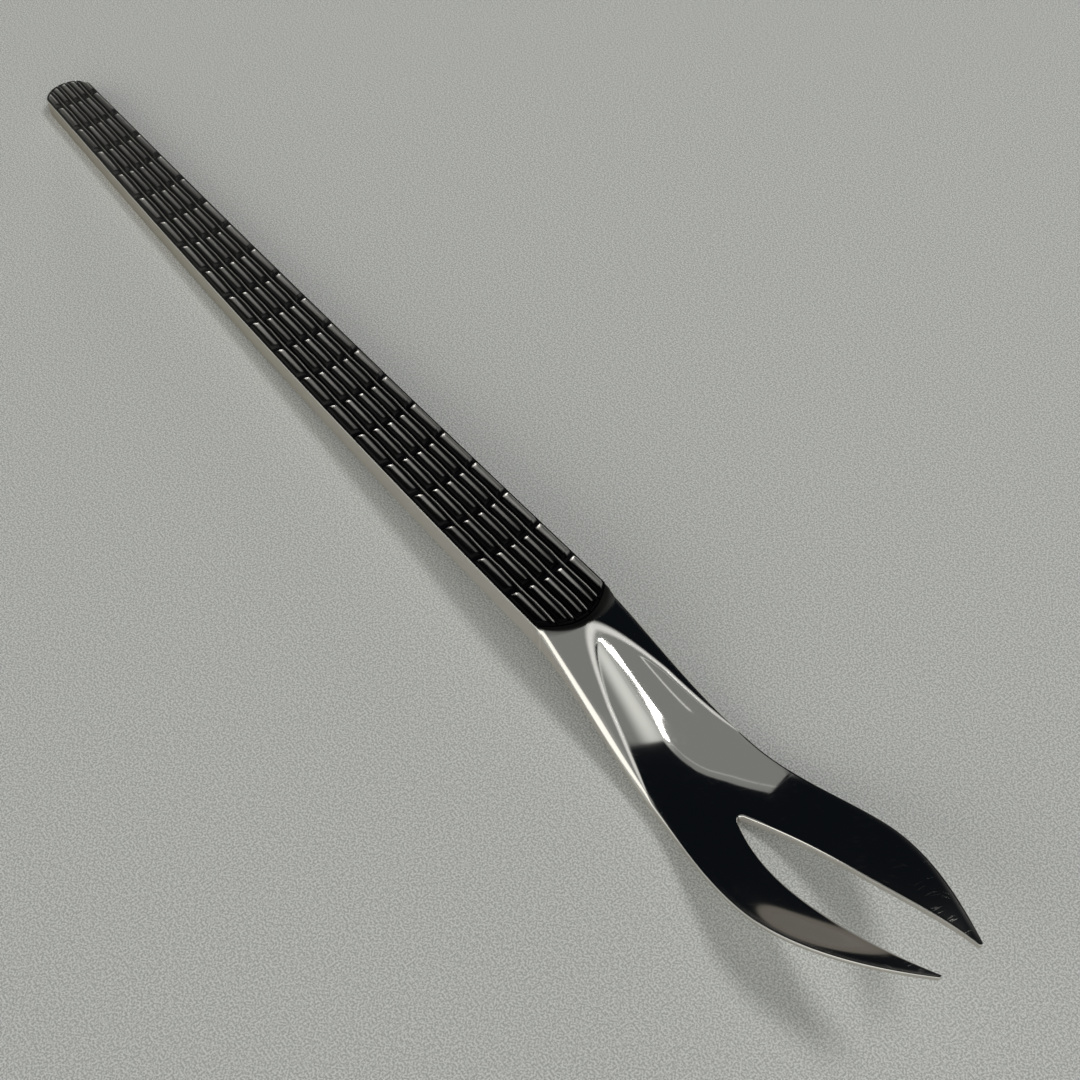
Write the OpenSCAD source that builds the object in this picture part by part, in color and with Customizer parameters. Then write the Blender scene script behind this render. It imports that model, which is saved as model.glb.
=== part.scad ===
// Two-tined butter fork, lying as it rests on a table.
// Lengths are in millimetres. Stations along the fork are measured from the butt, heights from the table.
// The whole fork is then moved so that the origin lies under its middle.

/* [Handle] */
// Length from the butt to the corners of the struck panel
handle_length = 103.2; // [85:0.1:125]
// Width of the handle behind the rounded butt
butt_width = 5.5; // [4.8:0.1:8]
// Depth of the rounding of the butt
butt_round = 2.3; // [1:0.1:3]
// Width of the handle at the shoulder, where the struck panel ends
shoulder_width = 7.9; // [6.5:0.1:11]
// Thickness of the handle at the butt, up to the crests of the pads
butt_thickness = 2.6; // [2:0.1:4]
// Thickness of the handle at the shoulder, up to the crests of the pads
shoulder_thickness = 3.3; // [2.4:0.1:5]
// Length of the flat under the butt that lies on the table
rest_length = 20; // [10:1:40]
// Height of the underside over the table at the shoulder
shoulder_lift = 3.3; // [1.5:0.1:5]

/* [Struck panel] */
// Spacing of the pads along the handle
pad_pitch = 5.24; // [4:0.02:8]
// Length of the first pad, at the butt
first_pad = 4.2; // [3.5:0.1:6]
// Height of the pads over the sunk floor of the panel
pad_height = 0.45; // [0.25:0.05:0.8]
// Gap between the ends of neighbouring pads
pad_gap = 0.4; // [0.2:0.05:0.8]
// Length of the sloping end of a pad
pad_end = 0.4; // [0.2:0.05:0.8]
// Width of the ribs that part the rows of pads
rib_width = 0.2; // [0.1:0.02:0.3]
// Height of the ribs over the floor
rib_height = 0.36; // [0.2:0.02:0.7]
// Width of the groove between a rib and the foot of a pad
groove_width = 0.16; // [0.1:0.02:0.24]
// Margin between the outermost pads and the side of the handle
panel_margin = 0.12; // [0.05:0.01:0.3]
// Margin between the butt and the first pads
butt_margin = 0.3; // [0.1:0.05:0.6]
// Radius of the arcs that the ends of the pads follow across the handle
column_radius = 11; // [8:0.5:40]
// How far the middle of the panel reaches past its corners
panel_tongue = 2; // [1:0.1:3]
// Length of the hollow step between the panel and the neck
panel_step = 0.9; // [0.4:0.1:1.4]
// Thickness of the black filling on the floor of the panel
fill_depth = 0.14; // [0.06:0.01:0.2]
// Clearance of the filling to the metal around it
fill_clearance = 0.01; // [0:0.005:0.03]

/* [Neck] */
// Length from the corners of the panel to the root of the slot
neck_length = 23.6; // [20:0.1:32]
// Distance from the corners of the panel to the point of the flute
flute_offset = 3.3; // [3:0.1:5]
// Radius of the flute across its point
flute_radius = 4.8; // [3:0.1:8]
// Fall of the flute at its point, in degrees
flute_fall = 20; // [12:0.5:26]
// Slope of the two side facets across the neck, in degrees
facet_angle = 30; // [15:0.5:36]
// Length over which the facets turn to their full slope
facet_run = 9.8; // [7:0.1:13]
// Fall of the edges of the neck at the shoulder, in degrees
edge_fall = 13.5; // [8:0.5:18]
// Distance from the end of the facets to the root of the slot
facet_end_offset = 4.8; // [4:0.1:7]
// Width of the fork where the facets end
waist_width = 10.9; // [9:0.1:13]

/* [Head] */
// Length of the tines from the root of the slot
tine_length = 23.2; // [18:0.1:30]
// Greatest width over both tines
head_width = 14.2; // [12:0.1:18]
// Distance from the root of the slot to the widest place
widest_offset = 9; // [7:0.1:12]
// Distance from the root of the slot back to the lowest place of the belly
belly_offset = 3.5; // [2.5:0.1:4.5]
// Radius of the hollow across the head
dish_radius = 14; // [10:0.5:30]
// Thickness of the metal at the belly
belly_thickness = 1; // [0.7:0.05:1.6]
// Thickness of the metal at the tips
tip_thickness = 0.75; // [0.5:0.05:1.2]
// Height over the table that the middle line of the head reaches at the tips
tip_height = 13.4; // [9:0.1:18]
// Rise of the tines at the tips, in degrees
tip_rise = 35; // [25:0.5:42]
// Inward lean of the outer edges at the tips, in degrees
tip_lean = 31; // [20:0.5:40]
// Width of each blunt tip
tip_width = 0.3; // [0.2:0.05:0.6]
// Radius of the root of the slot
root_radius = 0.36; // [0.25:0.01:0.6]
// Opening of the slot at its root, in degrees to each side
slot_flare = 23; // [15:0.5:28]
// Greatest width of the slot
slot_width = 5; // [4:0.1:6]
// Width of the slot between the tips
tip_gap = 3.8; // [2.5:0.1:4.8]
// Distance from the tips back to the widest place of the slot
slot_widest_offset = 9; // [7:0.1:11]

/* [Hidden] */

lanes = 5;
silver = "silver";
oxide_black = "#17181a";
rows_in_neck = 16;
rows_in_root = 4;
rows_in_tines = 22;
crease_columns = 10;
neck_flare = tan(3.5);
waist_flare = tan(4);
slot_tip_lean = tan(10);
head_crease_share = 0.65;
least_crease_share = 0.16;
greatest_crease_share = 0.97;
pad_flank_share = 0.28;
root_flat_share = 0.25;
neck_crowding = 1.15;
step_low_share = 0.45;
step_low_rise = 0.3;
under_strips = 4;
fill_places = 4;

overall_length = handle_length + neck_length + tine_length;
slot_root = handle_length + neck_length;
flute_point = handle_length + flute_offset;
facet_end = slot_root - facet_end_offset;
belly = slot_root - belly_offset;
widest = slot_root + widest_offset;
slot_widest = overall_length - slot_widest_offset;

// Curves

function clamp(v, low, high) = min(max(v, low), high);
function blend(a, b, t) = a + (b - a) * t;
function share(x, start, end) = clamp((x - start) / (end - start), 0, 1);
function ease(t) = t * t * (3 - 2 * t);

// Cubic from height y0 and slope m0 at x0 to height y1 and slope m1 at x1
function cubic(x, x0, y0, m0, x1, y1, m1) =
    let (t = share(x, x0, x1), run = x1 - x0)
    blend(y0, y1, ease(t)) + run * t * (1 - t) * (m0 * (1 - t) - m1 * t);

// Half of the fork's width at station x
function half_width(x) =
    x < handle_length ? blend(butt_width, shoulder_width, sin(90 * share(x, 0, handle_length))) / 2
    : x < facet_end
        ? cubic(x, handle_length, shoulder_width / 2, neck_flare, facet_end, waist_width / 2, waist_flare)
    : x < widest ? cubic(x, facet_end, waist_width / 2, waist_flare, widest, head_width / 2, 0)
    : cubic(x, widest, head_width / 2, 0, overall_length, tip_gap / 2 + tip_width, -tan(tip_lean));

// Half of the slot's width at station x
function half_slot(x) =
    let (start = slot_root + root_radius)
    x < start ? sqrt(max(0, pow(root_radius, 2) - pow(start - x, 2)))
    : x < slot_widest ? cubic(x, start, root_radius, tan(slot_flare), slot_widest, slot_width / 2, 0)
    : cubic(x, slot_widest, slot_width / 2, 0, overall_length, tip_gap / 2, -slot_tip_lean);

// Handle: underside, crest of the pads and sunk floor of the panel
function handle_under(x) = shoulder_lift * pow(max(0, (x - rest_length) / (handle_length - rest_length)), 2);
function handle_crest(x) = handle_under(x) + blend(butt_thickness, shoulder_thickness, x / handle_length);
function panel_floor(x) = handle_crest(x) - pad_height;
under_slope = 2 * shoulder_lift / (handle_length - rest_length);

// Neck and head: facets that fall to the edges, and the flute that opens into the dished head
function flute_curvature(x) = blend(1 / flute_radius, 1 / dish_radius, share(x, flute_point, facet_end));
function facet_slope(x) = tan(facet_angle) * share(x, handle_length, handle_length + facet_run);
waist_edge = belly_thickness + pow(waist_width / 2, 2) / (2 * dish_radius);
function edge_line(x) =
    cubic(x, handle_length, handle_crest(handle_length), -tan(edge_fall), facet_end, waist_edge, 0);
flute_height = edge_line(flute_point) + facet_slope(flute_point) * half_width(flute_point);
function flute_bottom(x) =
    x < belly ? cubic(x, flute_point, flute_height, -tan(flute_fall), belly, belly_thickness, 0)
    : cubic(x, belly, belly_thickness, 0, overall_length, tip_height, tan(tip_rise));
// The edge rises by what the flute still has to fall at the waist, so that facet and flute run out together
waist_rise = flute_bottom(facet_end) - belly_thickness;
function neck_edge(x) = edge_line(x) + waist_rise * share(x, flute_point, facet_end);
function facet_top(x, y) = neck_edge(x) + facet_slope(x) * (half_width(x) - abs(y));
function flute_top(x, y) = flute_bottom(x) + flute_curvature(x) * y * y / 2;
function neck_top(x, y) =
    x < flute_point ? facet_top(x, y)
    : x < facet_end ? min(facet_top(x, y), flute_top(x, y))
    : flute_top(x, y);

// Height of the underside anywhere on the fork
function head_thickness(x) = blend(belly_thickness, tip_thickness, share(x, belly, overall_length));
function under_middle(x) =
    x < handle_length ? handle_under(x)
    : x < belly ? cubic(x, handle_length, shoulder_lift, under_slope, belly, 0, 0)
    : flute_bottom(x) - head_thickness(x);
function under(x, y) = under_middle(x) + share(x, handle_length, belly) * y * y / (2 * dish_radius);

// Share of the half width at which the facet meets the flute
function crease_share(x) =
    let (
        k = facet_slope(x),
        q = flute_curvature(x),
        rise = neck_edge(x) + k * half_width(x) - flute_bottom(x),
        y = (sqrt(max(0, k * k + 2 * q * rise)) - k) / q,
        back = ease(share(x, facet_end, slot_root))
    )
    x < flute_point ? least_crease_share
    : x < facet_end ? clamp(y / half_width(x), least_crease_share, greatest_crease_share)
    : blend(greatest_crease_share, head_crease_share, back);

// Struck panel: stations of the pads and places across the handle

full_columns = max(1, round((handle_length - first_pad) / pad_pitch) - 1);
columns = full_columns + 2;
function column_start(n) =
    n == 0 ? 0 : n > full_columns + 1 ? handle_length : first_pad + (n - 1) * pad_pitch;
function butt_edge(s) = butt_round * (1 - sqrt(max(0, 1 - s * s)));
function column_arc(x, s) = (1 - s * s) * pow(half_width(x), 2) / (2 * column_radius);
function panel_end(s) = handle_length + panel_tongue * (1 - s * s);
function pad_from(n, s) =
    n == 0 ? butt_edge(s) + butt_margin : column_start(n) + column_arc(column_start(n), s) + pad_gap / 2;
function pad_to(n, s) =
    n == columns - 1 ? panel_end(s) - pad_gap / 2
    : column_start(n + 1) + column_arc(column_start(n + 1), s) - pad_gap / 2;

// Edges of lane i across a handle of half width w: lane, then pad
function lane_left(i, w) = -w + 2 * w * i / lanes + (i == 0 ? 0 : rib_width / 2);
function lane_right(i, w) = -lane_left(lanes - 1 - i, w);
function pad_left(i, w) = lane_left(i, w) + (i == 0 ? panel_margin : groove_width);
function pad_right(i, w) = -pad_left(lanes - 1 - i, w);

// Places across the panel, each with the height over the floor that it has at a pad's crest and at its foot
function lane_places(i, w) =
    let (
        left = pad_left(i, w),
        right = pad_right(i, w),
        flank = (right - left) * pad_flank_share
    )
    [
        [lane_left(i, w), 0, 0],
        [left, 0, 0],
        [left + flank, pad_height, 0],
        [right - flank, pad_height, 0],
        [right, 0, 0],
        [lane_right(i, w), 0, 0],
        if (i < lanes - 1) [-w + 2 * w * (i + 1) / lanes, rib_height, rib_height]
    ];
function panel_places(w) = [for (i = [0:lanes - 1]) each lane_places(i, w)];
places = len(panel_places(1));
middle = places / 2;

// Rows of points over the top of the panel: station across the edges, and 1 where the pads stand up
function panel_row(x, along, lift) = [
    for (p = panel_places(half_width(x)))
        let (s = p[0] / half_width(x), at = along(s))
        [at, p[0], panel_floor(at) + (lift < 0 ? 0 : lift == 1 ? p[1] : p[2])]
];
function pad_rows(n) = [
    panel_row(pad_from(n, 1), function (s) pad_from(n, s), 0),
    panel_row(pad_from(n, 1) + pad_end, function (s) pad_from(n, s) + pad_end, 1),
    panel_row(pad_to(n, 1) - pad_end, function (s) pad_to(n, s) - pad_end, 1),
    panel_row(pad_to(n, 1), function (s) pad_to(n, s), 0)
];
handle_rows = [
    panel_row(butt_round, function (s) butt_edge(s), -1),
    for (n = [0:columns - 1]) each pad_rows(n),
    panel_row(handle_length, function (s) panel_end(s), -1)
];

// Rows of points over the neck and the tines
neck_start = handle_length + panel_step;
neck_stations = [
    for (k = [0:rows_in_neck]) blend(neck_start, slot_root, pow(k / rows_in_neck, neck_crowding)),
    for (k = [1:rows_in_root]) slot_root + root_radius * (1 - cos(90 * k / rows_in_root)),
    for (k = [1:rows_in_tines]) blend(slot_root + root_radius, overall_length, sin(90 * k / rows_in_tines))
];
root_flat = root_radius * root_flat_share;

// Distance from the middle line of place j, counted outwards from the middle
function neck_place(x, j) =
    let (
        inner = max(root_flat, x > slot_root ? half_slot(x) : 0),
        outer = half_width(x),
        crease = blend(inner, outer, crease_share(x))
    )
    j <= crease_columns ? blend(inner, crease, j / crease_columns)
    : blend(crease, outer, (j - crease_columns) / (middle - 1 - crease_columns));
function neck_row(x) =
    let (
        w = half_width(x),
        turn = share(x, neck_start, flute_point + facet_run / 2),
        panel = panel_places(w),
        tongue = panel_tongue * pow(1 - turn, 2)
    )
    [
        for (j = [0:places - 1])
            let (
                side = j < middle ? -1 : 1,
                outwards = j < middle ? middle - 1 - j : j - middle,
                y = blend(panel[j][0], side * neck_place(x, outwards), ease(turn)),
                at = x + tongue * (1 - pow(y / w, 2))
            )
            [at, y, neck_top(at, y)]
    ];

// The hollow step takes the floor of the panel up to the neck
function step_row(t, rise) = [
    for (p = panel_places(half_width(neck_start)))
        let (
            s = p[0] / half_width(neck_start),
            at = panel_end(s) + panel_step * t,
            end = panel_end(s) + panel_step
        )
        [at, p[0], blend(panel_floor(panel_end(s)), neck_top(end, p[0]), rise)]
];

top_rows = [
    each handle_rows,
    step_row(step_low_share, step_low_rise),
    for (x = neck_stations) neck_row(x)
];
rows = len(top_rows);
split_row = rows - 1 - rows_in_tines - rows_in_root;

// The underside takes a few of the places on each side, and meets the top along the edges and the slot
under_places = [
    for (k = [0:under_strips]) round(k * (middle - 1) / under_strips),
    for (k = [0:under_strips]) middle + round(k * (middle - 1) / under_strips)
];
under_count = len(under_places);
under_rows = [
    for (row = top_rows) [for (j = under_places) [row[j][0], row[j][1], under(row[j][0], row[j][1])]]
];

blank_points = [
    for (row = top_rows) each row,
    for (row = under_rows) each row
];
function top_at(r, j) = r * places + j;
function under_at(r, k) = rows * places + r * under_count + k;

// Two triangles for four corners in clockwise order seen from outside
function pair(a, b, c, d) = [[a, b, c], [a, c, d]];

// Wall between a run of top places and the run of underside places below it, at row r
function end_wall(r, first, last, turned) = [
    for (k = [first:last - 1])
        let (low = under_at(r, k), next = under_at(r, k + 1), to = under_places[k + 1])
        each [
            for (j = [under_places[k]:to - 1])
                turned ? [top_at(r, j + 1), top_at(r, j), low] : [top_at(r, j), top_at(r, j + 1), low],
            turned ? [top_at(r, to), low, next] : [top_at(r, to), next, low]
        ]
];
function wall(r, j, k) = pair(top_at(r, j), top_at(r + 1, j), under_at(r + 1, k), under_at(r, k));
function wall_back(r, j, k) = pair(top_at(r, j), under_at(r, k), under_at(r + 1, k), top_at(r + 1, j));

blank_faces = [
    for (r = [0:rows - 2], j = [0:places - 2])
        if (r < split_row || j != middle - 1)
            each pair(top_at(r, j), top_at(r, j + 1), top_at(r + 1, j + 1), top_at(r + 1, j)),
    for (r = [0:rows - 2], k = [0:under_count - 2])
        if (r < split_row || k != under_count / 2 - 1)
            each pair(under_at(r, k), under_at(r + 1, k), under_at(r + 1, k + 1), under_at(r, k + 1)),
    for (r = [0:rows - 2]) each wall(r, 0, 0),
    for (r = [0:rows - 2]) each wall_back(r, places - 1, under_count - 1),
    for (r = [split_row:rows - 2]) each wall_back(r, middle - 1, under_count / 2 - 1),
    for (r = [split_row:rows - 2]) each wall(r, middle, under_count / 2),
    each end_wall(0, 0, under_count - 1, true),
    each end_wall(split_row, under_count / 2 - 1, under_count / 2, false),
    each end_wall(rows - 1, 0, under_count / 2 - 1, false),
    each end_wall(rows - 1, under_count / 2, under_count - 1, false)
];

// The filling of one lane: a thin layer on the floor with a window for each pad

fill_edges = [
    function (s) butt_edge(s) + butt_margin / 2,
    for (n = [0:columns - 1]) each [
        function (s) pad_from(n, s) - fill_clearance,
        function (s) pad_to(n, s) + fill_clearance
    ],
    function (s) panel_end(s) - fill_clearance
];
function fill_place(i, w, c) =
    c == 0 ? lane_left(i, w) + fill_clearance
    : c == 1 ? pad_left(i, w) - fill_clearance
    : c == 2 ? pad_right(i, w) + fill_clearance
    : lane_right(i, w) - fill_clearance;
function fill_points(i, height) = [
    for (along = fill_edges, c = [0:fill_places - 1])
        let (w = half_width(along(1)), y = fill_place(i, w, c), at = along(y / w))
        [at, y, panel_floor(at) + height]
];
fill_rows = len(fill_edges);
function fill_at(r, c, level) = (level * fill_rows + r) * fill_places + c;
function is_window(r, c) = c == 1 && r % 2 == 1;
function fill_wall(r0, c0, r1, c1) =
    pair(fill_at(r0, c0, 1), fill_at(r1, c1, 1), fill_at(r1, c1, 0), fill_at(r0, c0, 0));
fill_faces = [
    for (r = [0:fill_rows - 2], c = [0:fill_places - 2])
        if (is_window(r, c)) each [
            each fill_wall(r, c, r, c + 1),
            each fill_wall(r + 1, c, r, c),
            each fill_wall(r + 1, c + 1, r + 1, c),
            each fill_wall(r, c + 1, r + 1, c + 1)
        ]
        else each [
            each pair(fill_at(r, c, 1), fill_at(r, c + 1, 1), fill_at(r + 1, c + 1, 1), fill_at(r + 1, c, 1)),
            each pair(fill_at(r, c, 0), fill_at(r + 1, c, 0), fill_at(r + 1, c + 1, 0), fill_at(r, c + 1, 0))
        ],
    for (r = [0:fill_rows - 2]) each fill_wall(r, 0, r + 1, 0),
    for (r = [0:fill_rows - 2]) each fill_wall(r + 1, fill_places - 1, r, fill_places - 1),
    for (c = [0:fill_places - 2]) each fill_wall(0, c + 1, 0, c),
    for (c = [0:fill_places - 2]) each fill_wall(fill_rows - 1, c, fill_rows - 1, c + 1)
];

// Sub-parts

module centred() {
    translate([-overall_length / 2, 0, 0]) children();
}

// The forging: struck handle, neck, dished head and two tines, all one piece of metal
module fork_blank() {
    color(silver) centred() polyhedron(blank_points, blank_faces, convexity = 8);
}

// The black filling between two ribs, around one row of pads
module groove_fill(i) {
    color(oxide_black) centred()
        polyhedron(concat(fill_points(i, fill_clearance), fill_points(i, fill_depth)), fill_faces, convexity = 6);
}

fork_blank();
for (i = [0:lanes - 1])
    groove_fill(i);
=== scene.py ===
import math

import bpy
import numpy as np
from mathutils import Matrix, Quaternion, Vector


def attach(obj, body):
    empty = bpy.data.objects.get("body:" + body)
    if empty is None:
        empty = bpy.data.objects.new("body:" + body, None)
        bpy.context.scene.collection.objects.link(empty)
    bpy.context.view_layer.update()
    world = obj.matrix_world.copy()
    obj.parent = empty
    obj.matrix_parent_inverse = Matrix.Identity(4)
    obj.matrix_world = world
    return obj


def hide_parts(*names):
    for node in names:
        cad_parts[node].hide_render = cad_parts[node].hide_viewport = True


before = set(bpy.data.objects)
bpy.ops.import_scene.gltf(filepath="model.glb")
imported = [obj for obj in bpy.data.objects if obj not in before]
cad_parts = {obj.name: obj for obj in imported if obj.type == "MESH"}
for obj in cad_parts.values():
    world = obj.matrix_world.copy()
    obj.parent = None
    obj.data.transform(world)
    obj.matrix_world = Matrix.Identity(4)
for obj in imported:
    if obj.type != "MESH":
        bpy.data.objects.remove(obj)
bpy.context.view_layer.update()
mm = 0.001
print("frame loaded:", ", ".join(sorted(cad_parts)))

# Camera: its place and the point on the table that it looks at, in mm from the fork's origin
camera = {
    "place": (100.9, -54.15, 128.23),
    "lookAt": (16.6, 5.1, 0.0),
    "roll": -1.74,      # degrees
    "lens": 56.67,      # mm, on a sensor 36 mm wide
    "sensor": 36.0,
    "clip": (0.01, 20.0),   # m
}


def makeCamera():
    data = bpy.data.cameras.new("camera")
    data.lens = camera["lens"]
    data.sensor_width = camera["sensor"]
    data.clip_start, data.clip_end = camera["clip"]
    made = bpy.data.objects.new("camera", data)
    bpy.context.scene.collection.objects.link(made)
    place = Vector(camera["place"]) * mm
    look = Vector(camera["lookAt"]) * mm - place
    made.location = place
    made.rotation_mode = "QUATERNION"
    roll = Quaternion((0, 0, 1), math.radians(camera["roll"]))
    made.rotation_quaternion = look.to_track_quat("-Z", "Y") @ roll
    bpy.context.scene.camera = made


makeCamera()
print("camera placed")

# The fork's own sizes in mm: stations run from the butt, heights from the table
handle = {
    "length": 103.2,
    "buttWidth": 5.5,
    "buttRound": 2.3,
    "shoulderWidth": 7.9,
    "buttThickness": 2.6,
    "shoulderThickness": 3.3,
    "restLength": 20.0,
    "shoulderLift": 3.3,
    "edgeRound": 0.07,
}
neck = {
    "length": 23.6,
    "flareDegrees": 3.5,
    "fluteOffset": 3.3,
    "fluteRadius": 4.8,
    "fluteFall": 20.0,
    "facetAngle": 30.0,
    "facetRun": 9.8,
    "edgeFall": 13.5,
    "facetEndOffset": 4.8,
    "waistWidth": 10.9,
    "waistFlareDegrees": 4.0,
    "edgeRound": 0.42,
    "roundRun": 0.8,        # length over which the handle's edge widens to it
    "creaseBlend": 0.38,    # height over which facet and flute melt into each other
    "pointBlend": 1.2,      # how much softer that is at the flute's point
    "pointRun": 5.0,
    "blendEnd": 4.0,        # length over which the crease fades out before the waist
    "ridgeBlend": 0.25,     # half width of the rounded ridge before the flute
}
head = {
    "tineLength": 23.2,
    "width": 14.2,
    "widestOffset": 9.0,
    "bellyOffset": 3.5,
    "dishRadius": 14.0,
    "bellyThickness": 1.0,
    "tipThickness": 0.75,
    "tipHeight": 13.4,
    "tipRise": 35.0,
    "tipLean": 31.0,
    "tipWidth": 0.3,
    "rootRadius": 0.36,
    "slotFlare": 23.0,
    "slotWidth": 5.0,
    "tipGap": 3.8,
    "slotWidestOffset": 9.0,
    "slotTipLean": 10.0,
    "edgeRound": 0.24,
    "tipRound": 0.07,
    "rollWidth": 2.8,       # the polished top falls off towards its outer edge over this width
    "rollDepth": 0.2,
    "rollLength": 8.0,
}

handleEnd = handle["length"]
slotRoot = handleEnd + neck["length"]
tip = slotRoot + head["tineLength"]
flutePoint = handleEnd + neck["fluteOffset"]
facetEnd = slotRoot - neck["facetEndOffset"]
belly = slotRoot - head["bellyOffset"]
widest = slotRoot + head["widestOffset"]
slotWidest = tip - head["slotWidestOffset"]
tiny = 1e-6     # keeps divisions safe


def slope(degrees):
    return math.tan(math.radians(degrees))


def blend(a, b, t):
    return a + (b - a) * t


def share(x, start, end):
    return np.clip((x - start) / (end - start), 0, 1)


def ease(t):
    return t * t * (3 - 2 * t)


# cubic from height y0 and slope m0 at x0 to height y1 and slope m1 at x1
def cubic(x, x0, y0, m0, x1, y1, m1):
    t = share(x, x0, x1)
    return blend(y0, y1, ease(t)) + (x1 - x0) * t * (1 - t) * (m0 * (1 - t) - m1 * t)


def halfWidth(x):
    shoulder = handle["shoulderWidth"] / 2
    waist = neck["waistWidth"] / 2
    full = head["width"] / 2
    tipHalf = head["tipGap"] / 2 + head["tipWidth"]
    neckFlare = slope(neck["flareDegrees"])
    waistFlare = slope(neck["waistFlareDegrees"])
    bar = blend(handle["buttWidth"] / 2, shoulder, np.sin(share(x, 0, handleEnd) * math.pi / 2))
    onNeck = cubic(x, handleEnd, shoulder, neckFlare, facetEnd, waist, waistFlare)
    onHead = cubic(x, facetEnd, waist, waistFlare, widest, full, 0)
    onTines = cubic(x, widest, full, 0, tip, tipHalf, -slope(head["tipLean"]))
    fromWaist = np.where(x < widest, onHead, onTines)
    return np.where(x < handleEnd, bar, np.where(x < facetEnd, onNeck, fromWaist))


# half width of the slot, grown by the rounding of its edge; its round root runs tangent into the sides
def halfSlot(x, grown):
    centre = slotRoot + head["rootRadius"]
    radius = head["rootRadius"] + grown
    flare = math.radians(head["slotFlare"])
    meets = centre - radius * math.sin(flare)
    root = np.sqrt(np.maximum(0, radius**2 - (centre - x) ** 2))
    full = head["slotWidth"] / 2 + grown
    opening = cubic(x, meets, radius * math.cos(flare), math.tan(flare), slotWidest, full, 0)
    closing = cubic(x, slotWidest, full, 0, tip, head["tipGap"] / 2 + grown, -slope(head["slotTipLean"]))
    return np.where(x < meets, root, np.where(x < slotWidest, opening, closing))


def handleUnder(x):
    return handle["shoulderLift"] * share(x, handle["restLength"], handleEnd) ** 2


def handleCrest(x):
    return handleUnder(x) + blend(handle["buttThickness"], handle["shoulderThickness"], x / handleEnd)


def fluteCurvature(x):
    return blend(1 / neck["fluteRadius"], 1 / head["dishRadius"], share(x, flutePoint, facetEnd))


def facetSlope(x):
    return slope(neck["facetAngle"]) * share(x, handleEnd, handleEnd + neck["facetRun"])


def edgeLine(x):
    waistEdge = head["bellyThickness"] + (neck["waistWidth"] / 2) ** 2 / (2 * head["dishRadius"])
    return cubic(x, handleEnd, handleCrest(handleEnd), -slope(neck["edgeFall"]), facetEnd, waistEdge, 0)


def fluteBottom(x):
    fall = slope(neck["fluteFall"])
    start = edgeLine(flutePoint) + facetSlope(flutePoint) * halfWidth(flutePoint)
    before = start + fall * (flutePoint - x)
    flute = cubic(x, flutePoint, start, -fall, belly, head["bellyThickness"], 0)
    rise = cubic(x, belly, head["bellyThickness"], 0, tip, head["tipHeight"], slope(head["tipRise"]))
    return np.where(x < flutePoint, before, np.where(x < belly, flute, rise))


def neckEdge(x):
    waistRise = fluteBottom(facetEnd) - head["bellyThickness"]
    return edgeLine(x) + waistRise * share(x, flutePoint, facetEnd)


# top of the neck and the head: two facets that fall to the edges, cut by the flute with soft creases, and
# tines that roll off towards their outer edges; the second value is 1 along the middle of the creases
def neckTop(x, y):
    across = np.sqrt(y * y + neck["ridgeBlend"] ** 2) - neck["ridgeBlend"] * np.exp(-np.abs(y))
    facet = neckEdge(x) + facetSlope(x) * (halfWidth(x) - across)
    flute = fluteBottom(x) + fluteCurvature(x) * y * y / 2
    fromPoint = share(x, flutePoint, flutePoint + neck["pointRun"])
    melt = neck["creaseBlend"] * blend(neck["pointBlend"], 1, fromPoint)
    melt = melt * ease(share(x, facetEnd, facetEnd - neck["blendEnd"]))
    near = np.maximum(melt - np.abs(facet - flute), 0)
    cut = np.minimum(facet, flute) - near**2 / (4 * np.maximum(melt, tiny))
    fromEdge = np.clip(1 - (halfWidth(x) - np.abs(y)) / head["rollWidth"], 0, 1)
    roll = head["rollDepth"] * fromEdge**3 * share(x, slotRoot, slotRoot + head["rollLength"])
    return np.where(x < facetEnd, cut, flute) - roll, near / np.maximum(melt, tiny)


def underside(x, y):
    rising = 2 * handle["shoulderLift"] / (handleEnd - handle["restLength"])
    onNeck = cubic(x, handleEnd, handle["shoulderLift"], rising, belly, 0, 0)
    thickness = blend(head["bellyThickness"], head["tipThickness"], share(x, belly, tip))
    onHead = fluteBottom(x) - thickness
    middle = np.where(x < handleEnd, handleUnder(x), np.where(x < belly, onNeck, onHead))
    return middle + share(x, handleEnd, belly) * y * y / (2 * head["dishRadius"])


# radius of the rounding along the fork's edges
def edgeRound(x):
    widening = ease(share(x, handleEnd, handleEnd + neck["roundRun"]))
    shoulder = blend(handle["edgeRound"], neck["edgeRound"], widening)
    onHead = blend(shoulder, head["edgeRound"], ease(share(x, handleEnd + neck["facetRun"], slotRoot)))
    return blend(onHead, head["tipRound"], share(x, widest, tip) ** 3)


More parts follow.
